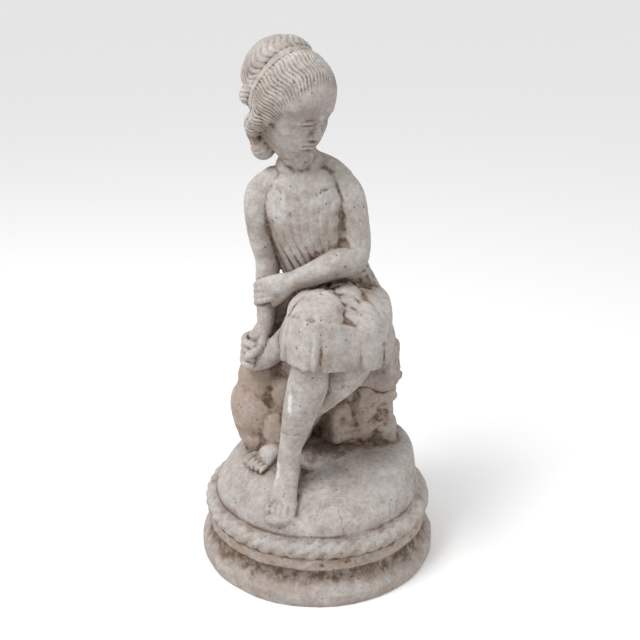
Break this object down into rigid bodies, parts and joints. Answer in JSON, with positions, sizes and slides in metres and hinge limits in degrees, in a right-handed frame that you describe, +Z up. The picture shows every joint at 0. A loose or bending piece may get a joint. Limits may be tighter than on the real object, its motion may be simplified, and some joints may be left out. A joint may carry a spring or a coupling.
{
  "type": "seated maiden garden statue",
  "caption": "Cast-stone garden statue of a maiden in a plain shift, seated on a rock, on a round plinth with a rope moulding.",
  "frame": {"origin": "on the plinth's axis, at the underside that it stands on", "axes": "+Z up along the plinth's axis; the front of the figure looks along -Y, and its right hand is on the -X side"},
  "size_m": [0.36, 0.36, 0.7642],
  "materials": {
    "cast_stone": null
  },
  "bodies": {
    "root": {"seated_maiden_statue": "cast_stone"}
  },
  "joints": []
}
